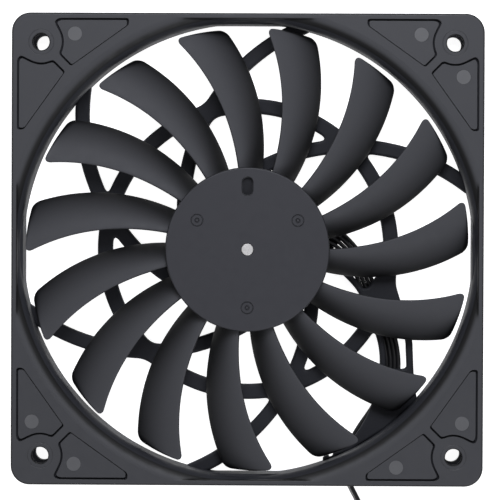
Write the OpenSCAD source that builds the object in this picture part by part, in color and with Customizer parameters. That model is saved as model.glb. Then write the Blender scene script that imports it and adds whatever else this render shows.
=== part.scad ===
// Slim axial case fan: square housing, swept-strut motor mount, brushless outer-rotor
// motor on two ball bearings, swept-blade impeller and a four-wire lead with its connector.
// It lies on its rear face (z = 0), its intake side faces up (+Z) and the shaft runs along Z.

/* [Housing] */
// Side of the square housing
frame_w = 120; // [120:1:124]
// Depth of the housing along the shaft
frame_h = 15; // [15:0.5:16]
// Radius of the housing's vertical corners
corner_r = 4.8; // [3:0.2:5.4]
// Thickness of the front and rear flanges
flange_t = 3; // [2.4:0.1:3.2]
// Spacing of the mounting holes
hole_pitch = 105; // [104:0.5:106]
// Radius of each mounting hole
hole_r = 2.1; // [2:0.05:2.4]

/* [Air duct] */
// Radius of the duct wall's inner face
duct_r = 57.9; // [57.4:0.1:58]
// Radius of the duct wall's outer face
duct_outer_r = 60.3; // [60.1:0.1:60.6]
// Radius of the rounded intake lip
lip_r = 4; // [3:0.5:4.5]
// Half width of the duct where the housing's sides cut it
duct_flat = 57.3; // [57:0.1:57.5]
// Half width of the intake lip where the housing's sides cut it
lip_flat = 58.5; // [58:0.1:58.8]

/* [Motor mount] */
// Number of swept struts
strut_count = 6; // [6]
// Width of a strut
strut_w = 3.7; // [2.9:0.1:4]
// Height of the struts and their ring
strut_h = 3.2; // [2.8:0.1:3.2]
// Inner radius of the ring that crosses the struts
ring_in_r = 34.8; // [34.4:0.1:36]
// Outer radius of the ring that crosses the struts
ring_out_r = 38.7; // [38:0.1:39]
// Radius of the motor base
base_r = 20.6; // [20:0.1:20.8]

/* [Impeller] */
// Number of blades
blade_count = 15; // [9:1:15]
// Radius of the blade tips
tip_r = 56.5; // [55:0.1:56.8]
// Radius of the hub
hub_r = 20.9; // [20.6:0.1:21]
// Height of the hub's face above the rear face
hub_top = 14.2; // [14:0.1:14.4]
// Blade thickness at the root
blade_root_t = 1.5; // [1:0.1:1.8]
// Blade thickness at the tip
blade_tip_t = 1.0; // [0.8:0.1:1.3]

/* [Motor] */
// Radius of the shaft
shaft_r = 1.5; // [1.5]
// Outer radius of the stator
stator_r = 16.3; // [16:0.1:16.4]
// Height of the stator's stack of laminations
stack_h = 3.4; // [3:0.1:3.6]
// Number of stator poles, each with one coil
pole_count = 4; // [4]
// Number of balls in each bearing
ball_count = 6; // [5:1:6]

/* [Lead] */
// Diameter of one insulated wire
wire_d = 1.1; // [0.9:0.05:1.15]
// Number of wires in the ribbon
wire_count = 4; // [4]

/* [Hidden] */
$fn = 96;
plastic = [0.13, 0.135, 0.145];
steel = [0.72, 0.72, 0.74];

// Depth of the pockets for the soft corner pads
pad_depth = 0.7;

// Impeller: the blades hang between these two heights
blade_top = 13.2;
blade_low = 5.3;
blade_pitch = 360 / blade_count;
tip_round = 1.8;
hub_wall = 1.3;
hub_low = 4.2;
hub_round = 1.0;
gate_r = 14.8;
key_slot_r = 16.06;

// Rotor: the yoke lines the hub and holds the magnet
yoke_out_r = hub_r - hub_wall;
yoke_t = 0.8;
yoke_top = hub_top - 1.2;
yoke_low = 4.6;
magnet_out_r = yoke_out_r - yoke_t;
magnet_in_r = 16.8;
bush_r = 2.6;

// Bearing seats along the shaft
bearing_r = 4;
bearing_h = 3;
rear_seat = 1.6;
front_seat = 7.4;
race_pitch_r = 2.75;
ball_r = 0.76;
groove_r = 0.8;
inner_race_r = 2.2;
outer_race_r = 3.3;
tube_r = 4.9;
tube_low = 0.35;
tube_top = 11;
clip_z = 0.95;
clip_t = 0.35;
shaft_low = 0.6;
groove_shaft_r = 1.2;

// Stator and board
stack_low = 6;
stack_top = stack_low + stack_h;
insulator_plate = 0.6;
insulator_wall = 1.6;
board_low = 2.2;
board_t = 0.8;
board_top = board_low + board_t;
board_r = 18.4;
base_floor = 1.6;
pin_r = 0.35;
pin_place_r = 8.6;
strut_bend = 50;
strut_off = 35.2;

// The tongue that the wires lie on where they leave the motor base
tongue_t = 1.2;
tongue = [[18, -1.5], [20.8, -0.2], [22.3, 0.9], [25.9, 4.4], [25, 6.2], [22.5, 7.4], [18, 7.6]];

// The lead's strut leaves the arc of the others and carries the wires between two rails
tunnel_h = 1.8;
tunnel_w = 4.9;
slot_h = 3.3;
slot_w = 5;
inner_rail_w = 1.6;
outer_rail_w = 1.8;
inner_rail = [[20, -2.2], [22.6, -4], [24.8, -5.9], [27.1, -8.2], [29.1, -10.8], [31.6, -15.8],
    [33.5, -21.2], [34.5, -25], [34.8, -29.4], [34.3, -34.7], [32.6, -40.3], [31, -44.1],
    [28.4, -48.3], [26.3, -51.2]];
outer_rail = [[37.2, -10.6], [38.3, -13.4], [39.6, -17], [41.35, -23], [41.6, -26], [41.8, -30.5],
    [42.2, -39.6]];
cover = [[29.6, -10.2], [31, -9.8], [32.3, -7.7], [33.6, -6.4], [37.4, -6.6], [40.8, -20.4],
    [40.2, -22.2], [34, -21.6]];
gusset = [[34.8, -30.7], [41.8, -30.7], [42.8, -36], [43.8, -38.6], [36, -46], [25.6, -52.4],
    [19.3, -55], [19.5, -53.5], [20.8, -52.8], [21.3, -53.55], [21.9, -53.35], [22.2, -52.3],
    [24.5, -51.4], [28.4, -48.3], [31, -44.1], [32.6, -40.3]];

// Each wire is drawn a little thinner than its pitch, so that the four stay apart
wire_core = wire_d * 0.9;
// Route of the four wires from the board to the housing's side: x, y, z, wire pitch, twist
inner_route = [[15.2, 5, 3.6, 1.7, 0], [18.2, 4.7, 2.7, 1.6, 0], [21.1, 3.7, 2.3, 1.35, 0],
    [24.5, 1.5, 1.9, 1.2, 0], [28, -2.7, 1.3, 1.14, 0], [30.25, -8.2, 0.9, 1.1, 0],
    [32.8, -13.4, 0.9, 1.02, 0], [34.9, -18.6, 0.9, 1.02, 0], [36.65, -24, 0.9, 1.04, 0],
    [37.35, -30, 0.9, 1.04, 0], [36.3, -36, 0.9, 1.04, 0], [33.4, -41.6, 0.9, 1.04, 0],
    [29.9, -46.8, 0.95, 1.06, 0], [28.1, -50.3, 1.1, 1.1, 6], [27, -53.3, 1.4, 1.1, 22],
    [26.3, -55.8, 1.8, 1.1, 44], [26, -58, 2.2, 1.1, 66], [26.1, -60, 2.4, 1.1, 82]];

// Route of the free lead from the housing's side to the coil, and from the coil to the connector
free_route = [[26.1, -60, 2.4], [27.1, -62, 2.4], [28.35, -64.4, 2.4], [29.7, -67.2, 2.4],
    [31, -70.6, 2.5], [32, -74.5, 2.6], [33, -79, 2.7], [33.7, -84, 2.75], [33.9, -88.7, 2.75]];
coil_centre = [9.5, -93];
coil_in_r = 19.6;
coil_out_r = 25.5;
coil_low = 0.5;
coil_h = 4.5;
tail_route = [[3.5, -20, 2.75], [-2.6, -18.9, 2.75], [-7.8, -16.6, 2.7], [-12, -12.8, 2.6],
    [-14.6, -7.8, 2.6], [-15.2, -2.2, 2.6], [-13.4, 2.8, 2.7], [-9.4, 6, 2.8], [-4.6, 7, 2.9],
    [-1, 7, 2.9]];
tail_twist = [90, 90, 90, 90, 90, 80, 55, 25, 5, 0];
tie_w = 2.6;
tie_t = 0.45;
plug_start = [-1, 7];
plug_size = [14, 10.4, 5.8];
pin_pitch = 2.54;

// ---------- shared shapes ----------

module ring(outer, inner, low, high) {
    difference() {
        translate([0, 0, low]) cylinder(r = outer, h = high - low);
        translate([0, 0, low - 1]) cylinder(r = inner, h = high - low + 2);
    }
}

module at_corners(half) {
    for (x = [-1, 1], y = [-1, 1]) translate([x * half, y * half, 0]) children();
}

module rounded_plate(w, r, low, high) {
    translate([0, 0, low]) {
        translate([-w / 2 + r, -w / 2, 0]) cube([w - 2 * r, w, high - low]);
        translate([-w / 2, -w / 2 + r, 0]) cube([w, w - 2 * r, high - low]);
        at_corners(w / 2 - r) cylinder(r = r, h = high - low);
    }
}

module square_prism(half, low, high) {
    translate([-half, -half, low]) cube([2 * half, 2 * half, high - low]);
}

module rounded_rect(w, h, r) {
    square([w - 2 * r, h], center = true);
    square([w, h - 2 * r], center = true);
    for (x = [-1, 1], y = [-1, 1]) translate([x * (w / 2 - r), y * (h / 2 - r)]) circle(r);
}

function unit(v) = v / norm(v);
function last(list) = len(list) - 1;
function last_of(list) = list[last(list)];
function heading(path, i) = unit(path[min(i + 1, last(path))] - path[max(i - 1, 0)]);
function leftward(t) = unit([-t[1], t[0]]);

// A band of constant width along a flat path
module band(path, w) {
    left = [for (i = [0:last(path)]) path[i] + leftward(heading(path, i)) * w / 2];
    right = [for (i = [last(path):-1:0]) path[i] - leftward(heading(path, i)) * w / 2];
    polygon(concat(left, right));
}

// A closed tube through rings of points that all have the same number of points
module skin(rings) {
    m = len(rings[0]);
    n = len(rings);
    points = [for (r = rings) each r];
    sides = [for (i = [0:n - 2], j = [0:m - 1])
        each [[i * m + j, i * m + (j + 1) % m, (i + 1) * m + j],
              [i * m + (j + 1) % m, (i + 1) * m + (j + 1) % m, (i + 1) * m + j]]];
    ends = [[for (j = [m - 1:-1:0]) j], [for (j = [0:m - 1]) (n - 1) * m + j]];
    polyhedron(points, concat(sides, ends), convexity = 10);
}

// One ring of a tube: an oval of w by t, turned by twist about the path and moved across by shift
function oval(p, t, w, h, twist, shift) =
    let (side = concat(leftward(t), 0), up = cross(t, side))
    [for (k = [0:7])
        let (a = shift + w / 2 * cos(45 * k + 22.5) / cos(22.5),
             b = h / 2 * sin(45 * k + 22.5) / cos(22.5))
        p + side * (a * cos(twist) - b * sin(twist)) + up * (a * sin(twist) + b * cos(twist))];

// ---------- housing ----------

// Pocket for a soft corner pad, on one side of the corner's diagonal
module pad_pocket() {
    difference() {
        polygon([[31, 58.5], [30.5, 58.3], [30.3, 57.8], [30.3, 57.1], [33, 55], [44.95, 46.45],
            [48.1, 49.6], [48.1, 55.5], [49.1, 57.2], [49, 58], [48.4, 58.5]]);
        translate([hole_pitch / 2, hole_pitch / 2]) circle(5.3);
    }
}

module pad_pockets(low, high) {
    for (turn = [0:90:270], flip = [0, 1])
        rotate(turn) mirror([flip, -flip, 0])
            translate([0, 0, low]) linear_extrude(high - low) pad_pocket();
}

module intake_lip() {
    rotate_extrude() difference() {
        translate([0, frame_h - lip_r]) square([duct_r + lip_r, lip_r + 1]);
        translate([duct_r + lip_r, frame_h - lip_r]) circle(lip_r);
    }
}

module lead_slot() {
    outer = [for (p = inner_route) if (p[1] < -41) [p[0], p[1]]];
    outside = [last_of(outer)[0], -frame_w / 2 - 2];
    translate([0, 0, -1]) linear_extrude(slot_h + 1) band(concat(outer, [outside]), slot_w);
}

module frame() color(plastic) difference() {
    union() {
        rounded_plate(frame_w, corner_r, 0, flange_t);
        rounded_plate(frame_w, corner_r, frame_h - flange_t, frame_h);
        intersection() {
            cylinder(r = duct_outer_r, h = frame_h);
            square_prism(frame_w / 2, 0, frame_h);
        }
    }
    intersection() {
        translate([0, 0, -1]) cylinder(r = duct_r, h = frame_h + 2);
        square_prism(duct_flat, -2, frame_h + 2);
    }
    intersection() {
        intake_lip();
        square_prism(lip_flat, -1, frame_h + 2);
    }
    at_corners(hole_pitch / 2) translate([0, 0, -1]) cylinder(r = hole_r, h = frame_h + 2);
    pad_pockets(frame_h - pad_depth, frame_h + 1);
    pad_pockets(-1, pad_depth);
    lead_slot();
}

// Centreline of a strut: an arc of radius strut_bend about a point strut_off from the axis
function strut_angle(r) =
    acos((r * r + strut_off * strut_off - strut_bend * strut_bend) / (2 * r * strut_off)) - 41.8;
function strut_path(turn) = [for (i = [0:12])
    let (r = 20 + i * (duct_r + 0.4 - 20) / 12, a = strut_angle(r) + turn)
    [r * cos(a), r * sin(a)]];

module strut_web() color(plastic) difference() {
    intersection() {
        union() {
            ring(ring_out_r, ring_in_r, 0, strut_h);
            linear_extrude(strut_h) {
                for (k = [0:strut_count - 2]) band(strut_path(360 / strut_count * k), strut_w);
                band(inner_rail, inner_rail_w);
                band(outer_rail, outer_rail_w);
                polygon(gusset);
                polygon(cover);
            }
        }
        ring(duct_r + 0.3, base_r - 0.3, 0, strut_h);
    }
    translate([0, 0, -1]) linear_extrude(tunnel_h + 1)
        band([for (p = inner_route) [p[0], p[1]]], tunnel_w);
}

module motor_base() color(plastic) difference() {
    union() {
        cylinder(r = base_r, h = base_floor);
        ring(base_r, base_r - 1.4, 0, 3.6);
        linear_extrude(tongue_t) polygon(tongue);
    }
    translate([0, 0, -1]) cylinder(r = tube_r, h = base_floor + 2);
    translate([0, 0, -1]) cylinder(r = 15.2, h = 1.3);
    translate([17, -1.5, base_floor + 0.1]) cube([6, 9.8, 3]);
}

module bearing_tube() color("goldenrod") difference() {
    ring(tube_r, 3.5, tube_low, tube_top);
    translate([0, 0, tube_low - 1]) cylinder(r = bearing_r, h = rear_seat + bearing_h - tube_low + 1);
    translate([0, 0, front_seat]) cylinder(r = bearing_r, h = tube_top);
}

module rear_label() color([0.2, 0.2, 0.21]) translate([0, 0, 0.05]) cylinder(r = 15, h = 0.2);

// ---------- rotor ----------

module impeller_hub() color(plastic) difference() {
    rotate_extrude() {
        translate([0, yoke_top]) square([hub_r - hub_round, hub_top - yoke_top]);
        translate([yoke_out_r, hub_low]) square([hub_wall, hub_top - hub_round - hub_low]);
        translate([hub_r - hub_round, hub_top - hub_round]) circle(hub_round);
    }
    cylinder(r = yoke_out_r, h = yoke_top);
    translate([0, 0, yoke_top - 1]) cylinder(r = shaft_r, h = 4);
    for (a = [30, 150, 270]) rotate(a) translate([gate_r, 0, 0])
        ring(1.5, 1.2, hub_top - 0.15, hub_top + 1);
    rotate(90) translate([key_slot_r, 0, hub_top - 0.7]) linear_extrude(2)
        rounded_rect(4.9, 2.9, 1.4);
}

// Leading and trailing edges of a blade, as angles at a given radius
function edge_run(r) = max(0, r - 20.66);
function lead_angle(r) = 24.56 + 0.0574 * pow(edge_run(r), 1.51);
function trail_angle(r) = 8.1 + 0.1228 * pow(edge_run(r), 1.363);
function span_share(r) = (r - hub_r) / (tip_r - hub_r);
// How far the plan outline draws in near the tip's rounded corners, in degrees
function corner_inset(r) =
    let (x = max(0, r - tip_r + tip_round) / tip_round)
    tip_round * (1 - sqrt(max(0, 1 - x * x))) / r * 180 / PI;
// One closed section of a blade at radius r: 16 points round a cambered, round-edged profile
function blade_section(r) =
    let (a0 = lead_angle(r) - corner_inset(r), a1 = trail_angle(r) + corner_inset(r),
         drop = blade_top - blade_low,
         half = (blade_root_t + (blade_tip_t - blade_root_t) * span_share(r)) / 2,
         run = r * (a1 - a0) * PI / 180)
    [for (k = [0:15])
        let (f = 22.5 * k, t = (1 - cos(f)) / 2,
             slope = -drop * (0.5 + t), across = unit([slope, -run]),
             off = half * sign(sin(f)) * pow(abs(sin(f)), 0.6),
             a = a0 + (a1 - a0) * t + off * across[0] / r * 180 / PI,
             z = blade_top - half - (drop - 2 * half) * t * (0.5 + 0.5 * t) + off * across[1])
        [r * cos(a), r * sin(a), z]];

module blade() {
    stations = [hub_r - 0.4, 23, 27, 32, 38, 44, 50, tip_r - tip_round, tip_r - 0.6, tip_r];
    skin([for (r = stations) blade_section(r)]);
}

module impeller_blades() color([0.16, 0.165, 0.175])
    for (n = [0:blade_count - 1]) rotate(n * blade_pitch) blade();

module rotor_yoke() color(steel) difference() {
    union() {
        ring(yoke_out_r, magnet_out_r, yoke_low, yoke_top);
        ring(yoke_out_r, bush_r, yoke_top - yoke_t, yoke_top);
    }
}

module ring_magnet() color([0.25, 0.25, 0.27]) ring(magnet_out_r, magnet_in_r, 5.2, 10.8);

module yoke_bush() color("goldenrod") difference() {
    union() {
        translate([0, 0, yoke_top - yoke_t]) cylinder(r = bush_r, h = yoke_t);
        translate([0, 0, yoke_top - yoke_t - 0.4]) cylinder(r = bush_r + 0.8, h = 0.4);
    }
    translate([0, 0, yoke_top - 4]) cylinder(r = shaft_r, h = 6);
}

module shaft() color([0.8, 0.8, 0.79]) difference() {
    translate([0, 0, shaft_low]) cylinder(r = shaft_r, h = hub_top - shaft_low);
    ring(shaft_r + 1, groove_shaft_r, clip_z - 0.03, clip_z + clip_t + 0.03);
}

module preload_spring() color(steel) {
    coil_r = 2.1;
    wire = 0.36;
    low = front_seat + bearing_h + wire / 2;
    rise = yoke_top - yoke_t - 0.4 - wire / 2 - low;
    turns = 2.5;
    steps = 40;
    skin([for (i = [0:steps])
        let (a = 360 * turns * i / steps, z = low + rise * i / steps)
        [for (k = [0:5])
            let (r = coil_r + wire / 2 * cos(60 * k))
            [r * cos(a), r * sin(a), z + wire / 2 * sin(60 * k)]]]);
}

module thrust_washer() color([0.9, 0.88, 0.8]) ring(2.1, shaft_r, clip_z + clip_t + 0.03, rear_seat);

module retaining_clip() color(steel) difference() {
    ring(2.5, groove_shaft_r, clip_z, clip_z + clip_t);
    translate([0, -0.9, 0]) cube([4, 1.8, 3]);
}

// ---------- bearings ----------

module outer_race(low) color(steel) rotate_extrude() difference() {
    translate([outer_race_r, low]) square([bearing_r - outer_race_r, bearing_h]);
    translate([race_pitch_r, low + bearing_h / 2]) circle(groove_r);
}

module inner_race(low) color(steel) rotate_extrude() difference() {
    translate([shaft_r, low]) square([inner_race_r - shaft_r, bearing_h]);
    translate([race_pitch_r, low + bearing_h / 2]) circle(groove_r);
}

module each_ball(low) {
    for (k = [0:ball_count - 1]) rotate(k * 360 / ball_count)
        translate([race_pitch_r, 0, low + bearing_h / 2]) children();
}

module balls(low) color([0.85, 0.85, 0.87]) each_ball(low) sphere(r = ball_r, $fn = 32);

module cage(low) color([0.7, 0.6, 0.35]) difference() {
    ring(3.05, 2.45, low + 0.3, low + 1.6);
    each_ball(low) sphere(r = ball_r + 0.03, $fn = 32);
}

module shields(low) color(steel) {
    ring(outer_race_r, inner_race_r + 0.08, low, low + 0.15);
    ring(outer_race_r, inner_race_r + 0.08, low + bearing_h - 0.15, low + bearing_h);
}

// ---------- stator ----------

module each_pole() {
    for (k = [0:pole_count - 1]) rotate(k * 360 / pole_count) children();
}

module stator_core() color([0.55, 0.56, 0.58]) translate([0, 0, stack_low]) linear_extrude(stack_h)
    difference() {
        union() {
            circle(7.2);
            each_pole() translate([6, -1.6]) square([8.5, 3.2]);
            intersection() {
                difference() {
                    circle(stator_r);
                    circle(14);
                }
                each_pole() polygon([[0, 0], [20, -15], [20, 15]]);
            }
        }
        circle(tube_r + 0.02);
    }

module insulator(plate_low, wall_low) color([0.86, 0.86, 0.82]) difference() {
    union() {
        translate([0, 0, plate_low]) linear_extrude(insulator_plate) {
            circle(7.6);
            each_pole() translate([6, -2.1]) square([8, 4.2]);
            each_pole() rotate(45) translate([pin_place_r, 0]) circle(1.3);
        }
        ring(7.6, 6.8, wall_low, wall_low + insulator_wall);
        each_pole() intersection() {
            ring(14, 13.3, wall_low, wall_low + insulator_wall);
            translate([10, -4, 0]) cube([6, 8, 20]);
        }
    }
    translate([0, 0, 1]) cylinder(r = tube_r + 0.02, h = 12);
    each_pole() rotate(45) translate([pin_place_r, 0, 0]) cylinder(r = pin_r, h = 20, $fn = 24);
}

module upper_insulator() insulator(stack_top, stack_top);
module lower_insulator() insulator(stack_low - insulator_plate, stack_low - insulator_wall);

module coil(k) color([0.72, 0.38, 0.2]) rotate((k - 1) * 360 / pole_count)
    translate([7.7, 0, stack_low + stack_h / 2]) rotate([90, 0, 90]) linear_extrude(5.1)
        difference() {
            rounded_rect(6.6, stack_h + 2.8, 1.2);
            square([4.2, stack_h + 2 * insulator_plate], center = true);
        }

module winding_pins() color("goldenrod") each_pole() rotate(45)
    translate([pin_place_r, 0, board_low - 0.3])
        cylinder(r = pin_r, h = stack_low - board_low + 0.3, $fn = 24);

module circuit_board() color([0.1, 0.32, 0.18]) difference() {
    ring(board_r, tube_r + 0.4, board_low, board_top);
    each_pole() rotate(45) translate([pin_place_r, 0, 0]) cylinder(r = pin_r, h = 9, $fn = 24);
    translate([16.4, -1.5, 0]) cube([4, 9, 9]);
}

module hall_sensor() color([0.08, 0.08, 0.08]) rotate(45) translate([15.6, -1.5, board_top])
    cube([1.6, 3, 0.8]);

module driver_chip() color([0.08, 0.08, 0.08]) rotate(215) translate([9.4, -2.5, board_top])
    cube([4, 5, 0.9]);

module board_parts() color([0.6, 0.55, 0.45])
    for (a = [95, 118, 150, 262, 290, 318]) rotate(a) translate([12, -0.6, board_top])
        cube([2, 1.2, 0.6]);

// ---------- lead ----------

// Direction of a route at one of its points, for routes that hold more than x, y and z
function course(route, i) =
    let (d = route[min(i + 1, last(route))] - route[max(i - 1, 0)]) unit([d[0], d[1], d[2]]);

module lead_wires() color([0.05, 0.05, 0.055])
    for (w = [0:wire_count - 1])
        skin([for (i = [0:last(inner_route)])
            let (p = inner_route[i])
            oval([p[0], p[1], p[2]], course(inner_route, i), wire_core, wire_core,
                p[4], (w - (wire_count - 1) / 2) * p[3])]);

module ribbon(route, twists) color([0.05, 0.05, 0.055])
    skin([for (i = [0:last(route)])
        oval(route[i], heading(route, i), wire_d * wire_count, wire_d, twists[i], 0)]);

module lead_cord() ribbon(free_route, [for (i = [0:last(free_route)]) min(90, 82 + 2 * max(0, i - 3))]);

module at_coil() translate([coil_centre[0], coil_centre[1], 0]) children();

module lead_coil() color([0.05, 0.05, 0.055])
    at_coil() ring(coil_out_r, coil_in_r, coil_low, coil_low + coil_h);

module lead_tail() at_coil() ribbon(tail_route, tail_twist);

module coil_tie() color([0.1, 0.1, 0.1]) at_coil() rotate(180) difference() {
    translate([coil_in_r - 0.1 - tie_t, -tie_w / 2, 0])
        cube([coil_out_r - coil_in_r + 0.2 + 2 * tie_t, tie_w, coil_low + coil_h + 0.5]);
    translate([coil_in_r - 0.1, -tie_w, coil_low - 0.05])
        cube([coil_out_r - coil_in_r + 0.2, 2 * tie_w, coil_h + 0.1]);
}

module at_plug() at_coil() translate([plug_start[0], plug_start[1], 0]) children();

module each_contact() {
    for (k = [0:wire_count - 1]) translate([0, (k - (wire_count - 1) / 2) * pin_pitch, 0]) children();
}

module connector_housing() color([0.07, 0.07, 0.07]) at_plug() difference() {
    union() {
        translate([0, -plug_size[1] / 2, 0]) cube(plug_size - [0, 0, 0.9]);
        for (y = [-3.2, 1.2]) translate([3, y, 0]) cube([11, 2, plug_size[2]]);
    }
    each_contact() translate([-1, -0.85, 1.6]) cube([16, 1.7, 2.1]);
}

module connector_terminals() color("goldenrod") at_plug() each_contact() difference() {
    translate([3, -0.8, 1.65]) cube([10, 1.6, 1.9]);
    translate([5, -0.4, 2.2]) cube([9, 0.8, 0.8]);
}

// ---------- parts ----------

frame();
strut_web();
motor_base();
bearing_tube();
rear_label();
impeller_hub();
impeller_blades();
rotor_yoke();
ring_magnet();
yoke_bush();
shaft();
preload_spring();
thrust_washer();
retaining_clip();
outer_race(front_seat);  // front_outer_race
inner_race(front_seat);  // front_inner_race
balls(front_seat);  // front_balls
cage(front_seat);  // front_cage
shields(front_seat);  // front_shields
outer_race(rear_seat);  // rear_outer_race
inner_race(rear_seat);  // rear_inner_race
balls(rear_seat);  // rear_balls
cage(rear_seat);  // rear_cage
shields(rear_seat);  // rear_shields
stator_core();
upper_insulator();
lower_insulator();
coil(1);  // coil_1
coil(2);  // coil_2
coil(3);  // coil_3
coil(4);  // coil_4
winding_pins();
circuit_board();
hall_sensor();
driver_chip();
board_parts();
lead_wires();
lead_cord();
lead_coil();
lead_tail();
coil_tie();
connector_housing();
connector_terminals();
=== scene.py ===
"""Visual model of a slim 120 mm case fan that lies on its rear face, seen from its intake side.

Shapes are worked out in millimetres, in the CAD model's frame, and turned into metres when a
mesh is made. Names such as HUB_R repeat the driving dimensions of the CAD model.
"""
import math

import bmesh
import bpy
import numpy as np
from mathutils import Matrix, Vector, geometry


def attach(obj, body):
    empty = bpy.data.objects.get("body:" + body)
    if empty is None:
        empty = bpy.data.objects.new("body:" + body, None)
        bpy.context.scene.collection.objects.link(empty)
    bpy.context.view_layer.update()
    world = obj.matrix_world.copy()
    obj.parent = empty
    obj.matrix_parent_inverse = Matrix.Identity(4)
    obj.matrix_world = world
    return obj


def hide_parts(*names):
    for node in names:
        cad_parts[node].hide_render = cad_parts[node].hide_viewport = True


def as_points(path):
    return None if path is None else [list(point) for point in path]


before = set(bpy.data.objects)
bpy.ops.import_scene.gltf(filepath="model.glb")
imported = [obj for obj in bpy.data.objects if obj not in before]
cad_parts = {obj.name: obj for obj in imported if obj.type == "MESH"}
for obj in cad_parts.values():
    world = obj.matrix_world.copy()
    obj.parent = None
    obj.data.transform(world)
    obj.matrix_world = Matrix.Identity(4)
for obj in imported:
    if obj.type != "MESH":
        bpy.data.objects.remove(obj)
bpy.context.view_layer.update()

MM = 0.001

# ---------- dimensions in millimetres ----------

HALF_W = 60
DEPTH = 15
CORNER_R = 4.8
FLANGE_T = 3
HOLE_AT = 52.5
HOLE_R = 2.1
DUCT_R = 57.9
DUCT_OUTER_R = 60.3
DUCT_FLAT = 57.3
LIP_R = 4
LIP_FLAT = 58.5
WALL_FLAT = 59.7

STRUT_W = 3.7
STRUT_H = 3.2
STRUT_BEND = 50
STRUT_OFF = 35.2
STRUT_TURN = 41.8
RING_IN_R = 34.8
RING_OUT_R = 38.7
BASE_R = 20.6
TUNNEL_H = 1.8
TUNNEL_W = 4.9
SLOT_H = 3.3
SLOT_W = 5

BLADES = 15
TIP_R = 56.5
HUB_R = 20.9
HUB_TOP = 14.2
HUB_LOW = 4.2
BLADE_TOP = 13.2
BLADE_LOW = 5.3
BLADE_ROOT_T = 1.5
BLADE_TIP_T = 1.0
TIP_ROUND = 1.8
CUP_R = 19.6
CUP_TOP = 13
SHAFT_R = 1.5

WIRE_D = 1.1
WIRES = 4

TONGUE = [(18, -1.8), (20.9, -0.7), (22.6, 0.7), (25.9, 4.4), (25, 6.2), (22.5, 7.4), (18, 7.6)]
TONGUE_T = 1.2

# Centrelines of the strut that carries the lead, seen from above
INNER_RAIL = [(17.4, -0.4), (20, -2.2), (22.6, -4), (24.8, -5.9), (27.1, -8.2), (29.1, -10.8),
              (31.6, -15.8), (33.5, -21.2), (34.5, -25), (34.8, -29.4), (34.3, -34.7), (32.6, -40.3),
              (31, -44.1), (28.4, -48.3), (26.3, -51.2)]
OUTER_RAIL = [(37.2, -10.6), (38.3, -13.4), (39.6, -17), (41.35, -23), (41.6, -26), (41.8, -30.5),
              (42.2, -39.6)]
INNER_RAIL_W = 1.6
OUTER_RAIL_W = 1.8
COVER = [(29.6, -10.2), (31, -9.8), (32.3, -7.7), (33.6, -6.4), (37.4, -6.6), (40.8, -20.4),
         (40.2, -22.2), (34, -21.6)]
GUSSET = [(34.8, -30.7), (41.8, -30.7), (42.8, -36), (43.8, -38.6), (36, -46), (25.6, -52.4),
          (19.3, -55), (19.5, -53.5), (20.8, -52.8), (21.3, -53.55), (21.9, -53.35), (22.2, -52.3),
          (24.5, -51.4), (28.4, -48.3), (31, -44.1), (32.6, -40.3)]

# Route of the four wires from the board to the housing's side: x, y, z, wire pitch, twist
INNER_ROUTE = [(15.2, 5, 3.6, 1.7, 0), (18.2, 4.7, 2.7, 1.6, 0), (21.1, 3.7, 2.3, 1.35, 0),
               (24.5, 1.5, 1.9, 1.2, 0), (28, -2.7, 1.3, 1.14, 0), (30.25, -8.2, 0.9, 1.1, 0),
               (32.8, -13.4, 0.9, 1.02, 0), (34.9, -18.6, 0.9, 1.02, 0), (36.65, -24, 0.9, 1.04, 0),
               (37.35, -30, 0.9, 1.04, 0), (36.3, -36, 0.9, 1.04, 0), (33.4, -41.6, 0.9, 1.04, 0),
               (29.9, -46.8, 0.95, 1.06, 0), (28.1, -50.3, 1.1, 1.1, 6), (27, -53.3, 1.4, 1.1, 22),
               (26.3, -55.8, 1.8, 1.1, 44), (26, -58, 2.2, 1.1, 66), (26.1, -60, 2.4, 1.1, 82)]
# Route of the free lead: x, y, z from the housing's side to the coil, and from there to the plug
FREE_ROUTE = [(26.1, -60, 2.4), (27.1, -62, 2.4), (28.35, -64.4, 2.4), (29.7, -67.2, 2.4),
              (31, -70.6, 2.5), (32, -74.5, 2.6), (33, -79, 2.7), (33.7, -84, 2.75),
              (33.9, -88.7, 2.75)]
COIL_CENTRE = (9.5, -93)
COIL_IN_R = 19.6
COIL_OUT_R = 25.5
COIL_START = 10
COIL_TURNS = 2.25
COIL_FIRST_R = 24.8
COIL_PITCH = 2.0
COIL_Z = 2.75
TAIL_ROUTE = [(3.5, -20, 2.75), (-2.6, -18.9, 2.75), (-7.8, -16.6, 2.7), (-12, -12.8, 2.6),
              (-14.6, -7.8, 2.6), (-15.2, -2.2, 2.6), (-13.4, 2.8, 2.7), (-9.4, 6, 2.8),
              (-4.6, 7, 2.9), (-1, 7, 2.9)]
TAIL_TWIST = [90, 90, 90, 90, 90, 80, 55, 25, 5, 0]
PLUG_AT = (8.5, -86)
PLUG_SIZE = (14, 10.4, 5.8)
PIN_PITCH = 2.54


# ---------- camera, lights and floor ----------

CAMERA_AT = (0.01386, 0.01338, 0.865)
CAMERA_TURN = (-0.908, 0.887, 0.244)
CAMERA_LENS = 241.3
# Brightness of the light tent by height of the direction, 0 at the horizon and 1 straight above
TENT = [(0.0, 0.06), (0.30, 0.20), (0.48, 1.0), (0.80, 1.0), (0.92, 0.25)]
TENT_POWER = 0.66
LAMP_COLOUR = (0.96, 0.98, 1.05)
LAMP_SIZE = 0.3
FLOOR_GLOW = 0.95


def add_object(name, data):
    thing = bpy.data.objects.new(name, data)
    bpy.context.scene.collection.objects.link(thing)
    return thing


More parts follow.
